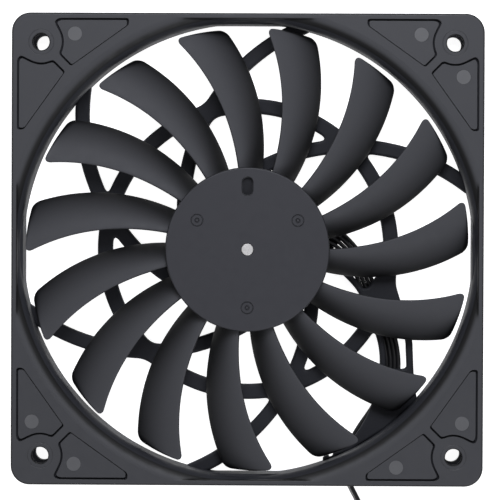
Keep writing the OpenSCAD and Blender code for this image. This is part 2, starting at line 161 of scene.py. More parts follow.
def make_camera():
    data = bpy.data.cameras.new("camera")
    data.sensor_width = 36
    data.lens = CAMERA_LENS
    data.clip_start = 0.05
    data.clip_end = 20
    camera = add_object("camera", data)
    camera.location = CAMERA_AT
    camera.rotation_mode = "ZYX"
    camera.rotation_euler = [math.radians(a) for a in CAMERA_TURN]
    bpy.context.scene.camera = camera


def make_light(name, place, aim, power):
    data = bpy.data.lights.new(name, "AREA")
    data.shape = "DISK"
    data.size = LAMP_SIZE
    data.energy = power
    data.color = LAMP_COLOUR
    light = add_object(name, data)
    light.location = place
    light.rotation_euler = (Vector(aim) - Vector(place)).to_track_quat("-Z", "Y").to_euler()


def make_world():
    """A light tent: dim straight above, where the camera looks in, bright on the slopes round it."""
    world = bpy.data.worlds.new("tent")
    bpy.context.scene.world = world
    world.use_nodes = True
    nodes, links = world.node_tree.nodes, world.node_tree.links
    place = nodes.new("ShaderNodeTexCoord")
    split = nodes.new("ShaderNodeSeparateXYZ")
    ramp = nodes.new("ShaderNodeValToRGB")
    links.new(place.outputs["Generated"], split.inputs[0])
    links.new(split.outputs["Z"], ramp.inputs["Fac"])
    links.new(ramp.outputs["Color"], nodes["Background"].inputs["Color"])
    nodes["Background"].inputs["Strength"].default_value = TENT_POWER
    stops = ramp.color_ramp.elements
    for k, (at, level) in enumerate(TENT):
        stop = stops[k] if k < 2 else stops.new(at)
        stop.position, stop.color = at, (level, level, level, 1)


def make_floor():
    bpy.ops.mesh.primitive_plane_add(size=8)
    floor = bpy.context.object
    floor.name = "floor"
    floor.data.materials.append(floor_material())


def make_backdrop():
    """A pale surround for low views. Only the camera sees it, so it adds no light or shade."""
    bpy.ops.mesh.primitive_cylinder_add(vertices=64, radius=3.8, depth=4, end_fill_type="NOTHING",
                                        location=(0, 0, 1.98))
    surround = bpy.context.object
    surround.name = "surround"
    surround.data.materials.append(floor_material("surround_paper"))
    for ray in ("diffuse", "glossy", "transmission", "volume_scatter", "shadow"):
        setattr(surround, "visible_" + ray, False)


def floor_material(name="light_table"):
    material = bpy.data.materials.new(name)
    material.use_nodes = True
    fill(material.node_tree.nodes["Principled BSDF"],
         {"Base Color": (0.80, 0.80, 0.80, 1), "Roughness": 0.9, "Specular IOR Level": 0.2,
          "Emission Color": (1, 1, 1, 1), "Emission Strength": FLOOR_GLOW})
    return material


# ---------- materials ----------

def fill(node, values):
    """Sets inputs of a node by their names."""
    for name, value in values.items():
        node.inputs[name].default_value = value
    return node


class Finish:
    """A node material: a base colour with a faint mottle, uneven roughness and a fine bump."""

    def __init__(self, name, colour, roughness, metallic=0.0, specular=0.5, coat=0.0):
        self.material = bpy.data.materials.new(name)
        self.material.use_nodes = True
        self.nodes = self.material.node_tree.nodes
        self.link = self.material.node_tree.links.new
        self.colour = (*colour, 1)
        self.shader = fill(self.nodes["Principled BSDF"],
                           {"Base Color": self.colour, "Roughness": roughness, "Metallic": metallic,
                            "Specular IOR Level": specular, "Coat Weight": coat})
        self.place = self.nodes.new("ShaderNodeTexCoord").outputs["Object"]

    def noise(self, per_metre, detail, stretch=(1, 1, 1)):
        mapping = fill(self.nodes.new("ShaderNodeMapping"), {"Scale": stretch})
        texture = fill(self.nodes.new("ShaderNodeTexNoise"), {"Scale": per_metre, "Detail": detail})
        self.link(self.place, mapping.inputs["Vector"])
        self.link(mapping.outputs["Vector"], texture.inputs["Vector"])
        return texture.outputs["Fac"]

    def spread(self, source, low, high):
        """Maps the middle of a noise to the range from low to high."""
        node = fill(self.nodes.new("ShaderNodeMapRange"),
                    {"From Min": 0.3, "From Max": 0.7, "To Min": low, "To Max": high})
        self.link(source, node.inputs["Value"])
        return node.outputs["Result"]

    def mix(self, values):
        node = self.nodes.new("ShaderNodeMix")
        node.data_type = "RGBA"
        return fill(node, values)

    def mottle(self, other, per_metre, share=1.0):
        """Patches of a second colour."""
        mix = self.mix({"A": self.colour, "B": (*other, 1)})
        self.link(self.spread(self.noise(per_metre, 4.0), 0.0, share), mix.inputs["Factor"])
        self.link(mix.outputs["Result"], self.shader.inputs["Base Color"])
        return self

    def painted_slope_shade(self, share, level, upright):
        """Painted shade: darkens the colour where the surface turns away from level towards upright."""
        normal = self.nodes.new("ShaderNodeNewGeometry").outputs["Normal"]
        split = self.nodes.new("ShaderNodeSeparateXYZ")
        span = fill(self.nodes.new("ShaderNodeMapRange"), {"From Min": upright, "From Max": level})
        span.interpolation_type = "SMOOTHSTEP"
        mix = self.mix({"A": (*[c * share for c in self.colour[:3]], 1)})
        self.link(normal, split.inputs[0])
        self.link(split.outputs["Z"], span.inputs["Value"])
        self.link(span.outputs["Result"], mix.inputs["Factor"])
        self.link(self.shader.inputs["Base Color"].links[0].from_socket, mix.inputs["B"])
        self.link(mix.outputs["Result"], self.shader.inputs["Base Color"])
        return self

    def rough(self, low, high, per_metre):
        self.link(self.spread(self.noise(per_metre, 3.0), low, high), self.shader.inputs["Roughness"])
        return self

    def bump(self, height, strength, microns):
        node = fill(self.nodes.new("ShaderNodeBump"), {"Strength": strength, "Distance": microns / 1e6})
        self.link(height, node.inputs["Height"])
        self.link(node.outputs["Normal"], self.shader.inputs["Normal"])
        return self

    def grain(self, per_metre, strength, microns, stretch=(1, 1, 1)):
        return self.bump(self.noise(per_metre, 2.0, stretch), strength, microns)

    def rings(self, per_metre, strength, microns):
        """Turning marks round the shaft's axis."""
        wave = fill(self.nodes.new("ShaderNodeTexWave"), {"Scale": per_metre, "Distortion": 0.6})
        wave.wave_type = "RINGS"
        wave.rings_direction = "Z"
        self.link(self.place, wave.inputs["Vector"])
        return self.bump(wave.outputs["Fac"], strength, microns)


def moulded(name, colour, pale, roughness, specular=0.5, painted_slope_shade=(1, 1, 0)):
    """Injection-moulded plastic with a fine spark-eroded grain and faint flow marks.

    Faces that turn towards upright can get painted shade. By default they get none, and an upright face only
    loses the flow marks.
    """
    finish = Finish(name, colour, roughness, specular=specular).mottle(pale, 30, 0.5).painted_slope_shade(*painted_slope_shade)
    return finish.rough(roughness - 0.05, roughness + 0.07, 420).grain(7000, 0.16, 30).material


# The other materials: colour, roughness, second colour and its patches per metre, roughness range
# and its patches, marks (per metre, strength, microns and stretch), metallic, coat, kind of marks
SOLIDS = [
    ("label_film", (0.05, 0.051, 0.055), 0.3, (0.06, 0.061, 0.066), 200, (0.25, 0.38, 300),
     (900, 0.1, 30), 0.0, 0.3),
    ("brass", (0.72, 0.5, 0.22), 0.28, (0.6, 0.4, 0.17), 500, (0.22, 0.38, 1500),
     (900, 0.1, 20), 1.0, 0.0, Finish.rings),
    ("yoke_steel", (0.5, 0.5, 0.51), 0.35, (0.42, 0.42, 0.44), 300, (0.28, 0.45, 900),
     (500, 0.1, 20), 1.0, 0.0, Finish.rings),
    ("bonded_magnet", (0.045, 0.043, 0.042), 0.6, (0.075, 0.07, 0.066), 1800, (0.5, 0.75, 900),
     (5000, 0.4, 40)),
    ("shaft_steel", (0.66, 0.65, 0.64), 0.55, (0.63, 0.62, 0.61), 2500, (0.48, 0.6, 3000),
     (2600, 0.25, 20), 1.0, 0.0, Finish.rings),
    ("spring_steel", (0.58, 0.58, 0.6), 0.25, (0.5, 0.5, 0.53), 900, (0.2, 0.34, 2000),
     (4000, 0.1, 10), 1.0),
    ("washer_nylon", (0.72, 0.69, 0.6), 0.4, (0.78, 0.75, 0.66), 800, (0.34, 0.5, 900),
     (3000, 0.1, 20)),
    ("bearing_steel", (0.66, 0.66, 0.67), 0.14, (0.6, 0.6, 0.62), 900, (0.1, 0.2, 2000),
     (2000, 0.05, 10), 1.0, 0.0, Finish.rings),
    ("cage_brass", (0.66, 0.47, 0.22), 0.35, (0.56, 0.38, 0.17), 900, (0.3, 0.45, 2000),
     (4000, 0.1, 10), 1.0),
    ("shield_steel", (0.62, 0.62, 0.63), 0.3, (0.54, 0.54, 0.56), 900, (0.24, 0.4, 2000),
     (1500, 0.1, 10), 1.0, 0.0, Finish.rings),
    ("lamination_steel", (0.4, 0.4, 0.42), 0.45, (0.28, 0.27, 0.27), 700, (0.38, 0.6, 1200),
     (2500, 0.5, 50, (0.05, 0.05, 1)), 1.0),
    ("insulator_nylon", (0.7, 0.7, 0.64), 0.45, (0.76, 0.76, 0.71), 300, (0.38, 0.55, 600),
     (4000, 0.2, 20)),
    ("enamelled_wire", (0.5, 0.17, 0.06), 0.28, (0.62, 0.26, 0.1), 900, (0.2, 0.36, 1500),
     (1400, 0.9, 100, (0.08, 0.08, 3.5)), 0.85, 0.4),
    ("board_laminate", (0.012, 0.075, 0.035), 0.32, (0.02, 0.11, 0.05), 500, (0.26, 0.42, 700),
     (1500, 0.2, 30), 0.0, 0.3),
    ("chip_resin", (0.018, 0.018, 0.019), 0.5, (0.026, 0.026, 0.028), 900, (0.42, 0.6, 1500),
     (6000, 0.3, 20)),
    ("chip_ceramic", (0.36, 0.28, 0.18), 0.4, (0.45, 0.36, 0.25), 900, (0.3, 0.5, 1500),
     (5000, 0.2, 20)),
    ("wire_insulation", (0.0085, 0.0085, 0.01), 0.36, (0.013, 0.013, 0.015), 260,
     (0.3, 0.44, 600), (1600, 0.2, 50), 0.0, 0.1),
    ("tie_plastic", (0.016, 0.016, 0.017), 0.34, (0.022, 0.022, 0.024), 500, (0.28, 0.42, 800),
     (3000, 0.15, 20)),
    ("connector_plastic", (0.014, 0.014, 0.015), 0.34, (0.02, 0.02, 0.022), 300,
     (0.28, 0.44, 700), (5000, 0.2, 20)),
]


def solid(name, colour, roughness, other, patches, rough, marks, metallic=0.0, coat=0.0,
          kind=Finish.grain):
    finish = Finish(name, colour, roughness, metallic, coat=coat).mottle(other, patches).rough(*rough)
    return kind(finish, *marks).material


def slot_name(material):
    return material.name.split(".")[0]


def make_materials():
    """Every finish, under the name of its material slot."""
    made = [
        # The housing, impeller and hub plastics end with painted shade on tilted faces: the share of colour
        # left, then the upward part of the normal where the darkening starts and where it is darkest
        moulded("housing_plastic", (0.045, 0.046, 0.0515), (0.048, 0.049, 0.0545), 0.5, 0.3,
                (0.12, 0.99, 0.86)),
        # A darker copy of the housing's plastic: painted shade on the struts, the pockets' grooves, the
        # duct's wall and the wires' tongue
        moulded("painted_shade_plastic", (0.023, 0.024, 0.029), (0.025, 0.026, 0.031), 0.6, 0.15),
        # A still darker copy: painted deep shade in the bolt holes, on the rear flange's inner face and in
        # the hub's key slot
        moulded("painted_deep_shade_plastic", (0.013, 0.0135, 0.0165), (0.015, 0.0155, 0.0185), 0.6, 0.15),
        moulded("pin_mark", (0.09, 0.091, 0.097), (0.1, 0.101, 0.107), 0.42),
        moulded("impeller_plastic", (0.053, 0.054, 0.06), (0.057, 0.058, 0.064), 0.55, 0.15,
                (0.16, 0.93, 0.6)),
        moulded("hub_plastic", (0.033, 0.0335, 0.0395), (0.035, 0.0355, 0.0415), 0.5, 0.3, (0.4, 0.99, 0.7)),
    ] + [solid(*row) for row in SOLIDS]
    return {slot_name(material): material for material in made}


# ---------- flat outlines ----------

def circle_loop(radius, count, centre=(0, 0)):
    angles = np.arange(count) * 2 * math.pi / count
    return np.c_[centre[0] + radius * np.cos(angles), centre[1] + radius * np.sin(angles)]


def rounded_square(half, radius, steps=12):
    """A square outline with round corners, the same number of points at every size."""
    corners = []
    for k, (sx, sy) in enumerate([(1, 1), (-1, 1), (-1, -1), (1, -1)]):
        turn = np.radians(90 * k + np.linspace(0, 90, steps + 1))
        centre = np.array([sx, sy]) * (half - radius)
        corners.append(centre + radius * np.c_[np.cos(turn), np.sin(turn)])
    return np.concatenate(corners)


def flattened_circle(radius, flat, blend=0.12, count=720):
    """A circle cut by four straight sides, with the corners between them eased."""
    angles = (np.arange(count) + 0.5) * 2 * math.pi / count
    side = flat / np.maximum(abs(np.cos(angles)), abs(np.sin(angles)))
    share = np.clip(0.5 + 0.5 * (side - radius) / blend, 0, 1)
    reach = side * (1 - share) + radius * share - blend * share * (1 - share)
    return np.c_[reach * np.cos(angles), reach * np.sin(angles)]


def filleted(corners, steps=6):
    """A closed outline through corners given as x, y and fillet radius."""
    points = []
    count = len(corners)
    for k in range(count):
        here = np.array(corners[k][:2], float)
        before = np.array(corners[k - 1][:2], float) - here
        after = np.array(corners[(k + 1) % count][:2], float) - here
        radius = corners[k][2]
        u, v = before / np.linalg.norm(before), after / np.linalg.norm(after)
        half = math.acos(np.clip(u @ v, -1, 1)) / 2
        if radius == 0 or half > 1.55:
            points.append(here)
            continue
        start = here + u * radius / math.tan(half)
        end = here + v * radius / math.tan(half)
        centre = here + (u + v) / np.linalg.norm(u + v) * radius / math.sin(half)
        a, b = start - centre, end - centre
        sweep = math.atan2(a[0] * b[1] - a[1] * b[0], a @ b)
        for t in np.linspace(0, sweep, steps + 1):
            c, s = math.cos(t), math.sin(t)
            points.append(centre + np.array([a[0] * c - a[1] * s, a[0] * s + a[1] * c]))
    return np.array(points)


def box_outline(low, high, radius, steps=4):
    (x0, y0), (x1, y1) = low, high
    return filleted([(x0, y0, radius), (x1, y0, radius), (x1, y1, radius), (x0, y1, radius)], steps)


def unit(rows):
    return rows / np.linalg.norm(rows, axis=1)[:, None]


def outward_normals(loop):
    """Unit normals that point away from the inside of a closed outline."""
    along = np.roll(loop, -1, 0) - np.roll(loop, 1, 0)
    return unit(np.c_[along[:, 1], -along[:, 0]]) * np.sign(area_of(loop))


def area_of(loop):
    x, y = loop[:, 0], loop[:, 1]
    return (x * np.roll(y, -1) - y * np.roll(x, -1)).sum() / 2


def within(points, loop):
    """Which points lie inside a closed outline."""
    a, b = loop, np.roll(loop, -1, 0)
    px, py = points[:, :1], points[:, 1:]
    spans = (a[:, 1] > py) != (b[:, 1] > py)
    rise = np.where(b[:, 1] == a[:, 1], 1e-12, b[:, 1] - a[:, 1])
    crossing = a[:, 0] + (py - a[:, 1]) * (b[:, 0] - a[:, 0]) / rise
    return (spans & (px < crossing)).sum(1) % 2 == 1


def round_edge(radius, steps=4):
    """(inset, drop) pairs down a rounded edge, from the flat face to the side."""
    turns = np.linspace(0, math.pi / 2, steps + 1)
    return [(radius * (1 - math.sin(a)), radius * (1 - math.cos(a))) for a in turns]


# ---------- meshes ----------

class Shell:
    """Points and faces in millimetres, gathered until they become one object."""

    def __init__(self):
        self.points = []
        self.faces = []
        self.flat = []
        self.paint = []

    def ring(self, loop, z):
        """Adds an outline at height z, one number or one for each point. Returns its indices."""
        first = len(self.points)
        heights = np.broadcast_to(np.asarray(z, float), len(loop))
        self.points.extend((p[0], p[1], h) for p, h in zip(loop, heights))
        return np.arange(first, len(self.points))

    def ring3(self, points):
        first = len(self.points)
        self.points.extend(tuple(p) for p in points)
        return np.arange(first, len(self.points))

    def circles(self, steps, count, centre=(0, 0)):
        """Round rings from (radius, height) pairs."""
        return [self.ring(circle_loop(radius, count, centre), z) for radius, z in steps]

    def pushed(self, outline, steps):
        """Rings of an outline moved outward, from (distance, height) pairs."""
        out = outward_normals(outline)
        return [self.ring(outline + out * distance, z) for distance, z in steps]

    def add(self, face, flat, paint):
        self.faces.append([int(i) for i in face])
        self.flat.append(flat)
        self.paint.append(paint)

    def band(self, a, b, paint=0):
        """Quads between two closed rings that have the same number of points."""
        count = len(a)
        for k in range(count):
            n = (k + 1) % count
            self.add((a[k], a[n], b[n], b[k]), False, paint)

    def bands(self, rings, paint=0):
        for a, b in zip(rings, rings[1:]):
            self.band(a, b, paint)

    def cap(self, outer, holes=(), paint=0):
        """Fills a flat face between an outer ring and the rings of its holes."""
        loops = [np.asarray(outer)] + [np.asarray(h) for h in holes]
        index = np.concatenate(loops)
        plan = np.array([self.points[i][:2] for i in index], np.float32).astype(float)
        edges, start = [], 0
        for loop in loops:
            count = len(loop)
            edges += [(start + k, start + (k + 1) % count) for k in range(count)]
            start += count
        made = geometry.delaunay_2d_cdt([Vector(p) for p in plan], edges, [], 0, 1e-6)
        places, triangles, origins = np.array([tuple(v) for v in made[0]]), made[2], made[3]
        centres = places[np.array(triangles)].mean(1)
        kept = within(centres, plan[: len(loops[0])])
        start = len(loops[0])
        for loop in loops[1:]:
            kept &= ~within(centres, plan[start : start + len(loop)])
            start += len(loop)
        for keep, triangle in zip(kept, triangles):
            if keep and all(origins[v] for v in triangle):
                self.add([index[origins[v][0]] for v in triangle], True, paint)

    def fan(self, ring, paint=0):
        self.add(ring, True, paint)

    def rod(self, rings):
        """Bands from the first ring to the last, closed by one face at each end."""
        self.bands(rings)
        self.fan(rings[0])
        self.fan(rings[-1])

    def mesh(self, name):
        mesh = bpy.data.meshes.new(name)
        mesh.from_pydata([tuple(c * MM for c in p) for p in self.points], [], self.faces)
        mesh.polygons.foreach_set("material_index", self.paint)
        work = bmesh.new()
        work.from_mesh(mesh)
        # Where an outline all but touches itself, a cap can miss a sliver of a few sides
        bmesh.ops.holes_fill(work, edges=[e for e in work.edges if e.is_boundary], sides=6)
        bmesh.ops.recalc_face_normals(work, faces=work.faces)
        work.to_mesh(mesh)
        work.free()
        return mesh

    def build(self, name, body, materials, stands_for, sharp=32):
        """Makes the piece that stands for some CAD nodes and rides on a body."""
        mesh = self.mesh(name)
        flat = self.flat + [True] * (len(mesh.polygons) - len(self.flat))
        mesh.set_sharp_from_angle(angle=math.radians(sharp))
        mesh.polygons.foreach_set("use_smooth", [not f for f in flat])
        for material in materials:
            mesh.materials.append(material)
        piece = add_object(name, mesh)
        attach(piece, body)
        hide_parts(*stands_for)
        return piece


def carve(piece, shell):
    """Cuts a closed shell out of a piece for good."""
    cutter = add_object("cutter", shell.mesh("cutter"))
    step = piece.modifiers.new("carve", "BOOLEAN")
    step.operation = "DIFFERENCE"
    step.solver = "EXACT"
    step.object = cutter
    bpy.context.view_layer.objects.active = piece
    bpy.ops.object.modifier_apply(modifier=step.name)
    bpy.data.objects.remove(cutter)


def prism(loop, low, high):
    shell = Shell()
    a, b = shell.ring(loop, low), shell.ring(loop, high)
    shell.band(a, b)
    shell.cap(a)
    shell.cap(b)
    return shell


def smooth_path(points, per_span=8):
    """A Catmull-Rom curve through points of any dimension."""
    p = np.array(points, float)
    p = np.vstack([2 * p[0] - p[1], p, 2 * p[-1] - p[-2]])
    out = []
    for k in range(1, len(p) - 2):
        for t in np.arange(per_span) / per_span:
            a, b, c, d = p[k - 1 : k + 3]
            out.append(0.5 * (2 * b + (c - a) * t + (2 * a - 5 * b + 4 * c - d) * t * t
                              + (3 * b - a - 3 * c + d) * t ** 3))
    out.append(p[-2])
    return np.array(out)


def band_outline(path, width):
    """Outline of a band of constant width along a flat path."""
    path = np.array(path, float)
    along = unit(np.gradient(path, axis=0))
    left = np.c_[-along[:, 1], along[:, 0]] * width / 2
    return np.concatenate([path + left, (path - left)[::-1]])


# ---------- housing ----------

POCKET_SLOPE = [(33, 55), (44.6, 46.7)]
POCKET_SIDE = 58.55
POCKET_RIB = 1.05
POCKET_ENDS = (30.3, 49.2)
BOSS_R = 5.3
FLOOR_DEEP = 0.14
FLOOR_SLOPE = 0.02
GROOVE_W = 0.37
GROOVE_DEEP = 1.1
PIN_MARK = (43.95, 54.65)
PIN_MARK_R = 1.85
# On the intake side one pocket, given by its turn and flip, has no mark and one has it elsewhere
BARE_POCKET = (90, False)
ODD_POCKET = (270, True)
ODD_MARK = (38, 55.2)
HOLE_RING_R = 3.05
HOLE_RING_W = 0.3
# Places in the housing's list of materials: the pin marks, then two darker copies of the housing's plastic
# that are painted shade, the second deeper
PINNED, PAINTED_SHADE, PAINTED_DEEP_SHADE = 1, 2, 3
# The duct's ring from which its wall is a darker plastic, painted shade
DUCT_SHADE_FROM = 7


def round_join(a, b, radius):
    """Intersection of two distance fields whose shared corner is rounded."""
    near = np.clip(radius - abs(a - b), 0, None) / radius
    return np.maximum(a, b) + near * near * radius / 4


def from_slope(points):
    """How far points are from the pocket's long sloping side, towards the corner."""
    a, b = np.array(POCKET_SLOPE)
    across = np.array([a[1] - b[1], b[0] - a[0]])
    return (points - a) @ (across / np.linalg.norm(across))


def pocket_field(points, slope_gap=0.0, side_gap=0.0):
    """Distance to the edge of the first pocket, or of a smaller one inside it."""
    x, y = points[:, 0], points[:, 1]
    boss = BOSS_R + side_gap - np.hypot(x - HOLE_AT, y - HOLE_AT)
    rib = POCKET_RIB + side_gap - (y - x) / math.sqrt(2)
    slope = slope_gap - from_slope(points)
    field = round_join(rib, boss, 0.7)
    field = round_join(field, y - POCKET_SIDE + side_gap, 0.6)
    field = round_join(field, x - POCKET_ENDS[1] + side_gap, 2.0)
    field = round_join(field, POCKET_ENDS[0] + side_gap - x, 0.6)
    return round_join(field, slope, 0.5)


def in_octant(points, turn, flip):
    """Carries points of the first pocket to one of the eight pockets."""
    points = np.array(points, float)
    if flip:
        points = points[:, ::-1]
    c, s = math.cos(math.radians(turn)), math.sin(math.radians(turn))
    return points @ np.array([[c, s], [-s, c]])


def pocket_loops():
    """The pocket's rim and the edge of its floor, in the first octant."""
    middle = np.array([41.5, 53.0])
    loops = []
    for slope_gap, side_gap in ((0, 0), (0.05, GROOVE_W)):
        def field(points):
            return pocket_field(points + middle, slope_gap, side_gap)
        loops.append(outlines_of(field, 13, 0.12, 0.2)[0] + middle)
    return loops


def pocket_floor(points):
    """Depth of a pocket's floor, which falls away from the long sloping side."""
    return FLOOR_DEEP + FLOOR_SLOPE * from_slope(points)


def add_pocket(shell, loops, turn, flip, face_z, inward):
    """A shallow pocket with a groove along its upright sides, whose wall and bottom are a darker plastic,
    painted shade. Returns the ring in the face.
    """
    rim, floor_edge = loops

    def ring(loop, push, depth):
        moved = loop + outward_normals(loop) * push
        return shell.ring(in_octant(moved, turn, flip), face_z + inward * depth)

    walls = [ring(rim, *step) for step in ((0.1, 0), (0.03, 0.03), (0, 0.1), (0, GROOVE_DEEP))]
    shell.bands(walls[:3])
    # The groove's outer wall: painted shade
    shell.band(walls[2], walls[3], PAINTED_SHADE)
    floor = pocket_floor(floor_edge)
    steps = [ring(floor_edge, *step) for step in ((0, GROOVE_DEEP), (0, floor + 0.1), (-0.08, floor))]
    shell.bands(steps)
    # The groove's bottom: painted shade
    shell.cap(walls[-1], [steps[0]], PAINTED_SHADE)
    front = inward < 0
    if front and (turn, flip) == BARE_POCKET:
        shell.cap(steps[-1])
        return walls[0]
    mark = np.array(ODD_MARK if front and (turn, flip) == ODD_POCKET else PIN_MARK, float)
    deep = pocket_floor(mark)
    edge, sunk = shell.circles([(PIN_MARK_R, face_z + inward * deep),
                                (PIN_MARK_R - 0.04, face_z + inward * (deep + 0.04))],
                               40, in_octant([mark], turn, flip)[0])
    shell.band(edge, sunk)
    shell.cap(steps[-1], [edge])
    shell.fan(sunk, PINNED)
    return walls[0]


def add_bolt_hole(shell, place, face_z, far_z):
    """A hole through one flange, eased where it leaves the outer face. Returns both end rings."""
    inward = 1 if far_z > face_z else -1
    steps = [(HOLE_R + r, face_z + inward * d) for r, d in ((0.26, 0), (0.2, 0.03), (0.06, 0.12), (0, 0.28))]
    steps += [(HOLE_R + r, far_z - inward * d) for r, d in ((0, 0.12), (0.1, 0))]
    rings = shell.circles(steps, 48, place)
    shell.bands(rings[:4])
    # The hole's inner wall: painted deep shade
    shell.bands(rings[3:], PAINTED_DEEP_SHADE)
    return rings[0], rings[-1]


def add_hole_ring(shell, place):
    """A faint turned ring round a hole in the intake face. Returns its outer and inner rims."""
    rims = shell.circles([(HOLE_RING_R + HOLE_RING_W, DEPTH), (HOLE_RING_R + HOLE_RING_W / 2, DEPTH - 0.05),
                          (HOLE_RING_R, DEPTH)], 48, place)
    shell.bands(rims)
    return rims[0], rims[-1]


def duct_rings(shell):
    """Rings down the duct's inner face, from the intake's edge to the outlet's."""
    lip_start = DEPTH - LIP_R
    levels = []
    for inset, drop in round_edge(0.35, 3):
        turn = math.asin(np.clip((LIP_R - drop) / LIP_R, -1, 1))
        levels.append((DUCT_R + LIP_R * (1 - math.cos(turn)), LIP_FLAT + inset, DEPTH - drop))
    for turn in np.radians(np.arange(60, 2, -5)):
        radius = DUCT_R + LIP_R * (1 - math.cos(turn))
        levels.append((radius, LIP_FLAT, lip_start + LIP_R * math.sin(turn)))
    levels += [(DUCT_R, LIP_FLAT, lip_start + 0.1), (DUCT_R, DUCT_FLAT + 0.12, lip_start),
               (DUCT_R, DUCT_FLAT, lip_start - 0.15), (DUCT_R, DUCT_FLAT, 7), (DUCT_R, DUCT_FLAT, 3.5),
               (DUCT_R, DUCT_FLAT, 0.3), (DUCT_R + 0.3, DUCT_FLAT + 0.3, 0)]
    return [shell.ring(flattened_circle(r, f), z) for r, f, z in levels]


def make_housing(m):
    shell = Shell()
    front_low = DEPTH - FLANGE_T

    def side(inset, z):
        return shell.ring(rounded_square(HALF_W - inset, CORNER_R - inset), z)

    front = [side(i, DEPTH - d) for i, d in round_edge(0.55, 5)]
    front += [side(0, front_low + 0.1), side(0.1, front_low)]
    rear = [side(0.1, FLANGE_T), side(0, FLANGE_T - 0.1)]
    rear += [side(i, d) for i, d in reversed(round_edge(0.4, 4))]
    wall = [shell.ring(flattened_circle(DUCT_OUTER_R + r, WALL_FLAT), z)
            for r, z in ((0.25, front_low), (0, front_low - 0.3), (0, 8), (0, FLANGE_T + 0.3),
                         (0.25, FLANGE_T))]
    duct = duct_rings(shell)
    for rings in (front, rear, wall, duct[:DUCT_SHADE_FROM + 1]):
        shell.bands(rings)
    # The duct's wall below the lip: painted shade, a darker copy of the housing's plastic
    shell.bands(duct[DUCT_SHADE_FROM:], PAINTED_SHADE)
    front_rims, front_far, rear_holes, rear_far = [], [], [], []
    for sx in (1, -1):
        for sy in (1, -1):
            place = (sx * HOLE_AT, sy * HOLE_AT)
            hole, far = add_bolt_hole(shell, place, DEPTH, front_low)
            outer, inner = add_hole_ring(shell, place)
            shell.cap(inner, [hole])
            front_rims.append(outer)
            front_far.append(far)
            hole, far = add_bolt_hole(shell, place, 0, FLANGE_T)
            rear_holes.append(hole)
            rear_far.append(far)
    loops = pocket_loops()
    pockets = [(turn, flip) for turn in (0, 90, 180, 270) for flip in (False, True)]
    front_pockets = [add_pocket(shell, loops, t, f, DEPTH, -1) for t, f in pockets]
    rear_pockets = [add_pocket(shell, loops, t, f, 0, 1) for t, f in pockets]
    shell.cap(front[0], [duct[0]] + front_rims + front_pockets)
    shell.cap(front[-1], [wall[0]] + front_far)
    # The rear flange's inner face, seen through the holes: painted deep shade
    shell.cap(rear[0], [wall[-1]] + rear_far, PAINTED_DEEP_SHADE)
    shell.cap(rear[-1], [duct[-1]] + rear_holes + rear_pockets)
    looks = [m[name] for name in ("housing_plastic", "pin_mark", "painted_shade_plastic", "painted_deep_shade_plastic")]
    piece = shell.build("housing_shell", "housing", looks, ["frame"])
    route = [p[:2] for p in INNER_ROUTE if p[1] < -41] + [(INNER_ROUTE[-1][0], -HALF_W - 2)]
    carve(piece, prism(band_outline(smooth_path(route, 4), SLOT_W), -1, SLOT_H))


# ---------- motor mount ----------

def segment_distance(points, path):
    """Distance from points to a line of straight stretches."""
    best = np.full(len(points), 1e9)
    path = np.array(path, float)
    for a, b in zip(path, path[1:]):
        along = b - a
        t = np.clip((points - a) @ along / (along @ along), 0, 1)
        best = np.minimum(best, np.linalg.norm(points - a - t[:, None] * along, axis=1))
    return best


def polygon_distance(points, corners):
    loop = np.array(corners, float)
    away = segment_distance(points, np.vstack([loop, loop[:1]]))
    return np.where(within(points, loop), -away, away)


def blend_union(a, b, width):
    """Union of two distance fields with a fillet of about that width."""
    near = np.clip(width - abs(a - b), 0, None) / width
    return np.minimum(a, b) - near * near * width / 4


def strut_path(turn):
    radii = np.linspace(17, DUCT_R + 1.8, 28)
    reach = (radii ** 2 + STRUT_OFF ** 2 - STRUT_BEND ** 2) / (2 * radii * STRUT_OFF)
    angles = np.arccos(reach) + math.radians(turn - STRUT_TURN)
    return np.c_[radii * np.cos(angles), radii * np.sin(angles)]


def web_field(points):
    """Distance to the edge of the struts, their ring and the lead's strut, negative inside."""
    reach = np.linalg.norm(points, axis=1)
    ring_mid, ring_half = (RING_IN_R + RING_OUT_R) / 2, (RING_OUT_R - RING_IN_R) / 2
    field = abs(reach - ring_mid) - ring_half
    for turn in range(0, 300, 60):
        field = blend_union(field, segment_distance(points, strut_path(turn)) - STRUT_W / 2, 1.6)
    rails = segment_distance(points, smooth_path(INNER_RAIL, 4)) - INNER_RAIL_W / 2
    rails = blend_union(rails, segment_distance(points, smooth_path(OUTER_RAIL, 4)) - OUTER_RAIL_W / 2, 0.8)
    rails = blend_union(rails, polygon_distance(points, COVER), 0.8)
    rails = blend_union(rails, polygon_distance(points, GUSSET), 1.0)
    field = blend_union(field, rails, 1.2)
    field = round_join(field, reach - DUCT_R - 1.5, 2.2)
    return round_join(field, BASE_R - 2.2 - reach, 3.2)


def slope_of(field, points, step=0.02):
    dx = field(points + [step, 0]) - field(points - [step, 0])
    dy = field(points + [0, step]) - field(points - [0, step])
    slope = np.c_[dx, dy]
    return slope / np.maximum(np.linalg.norm(slope, axis=1), 1e-9)[:, None]


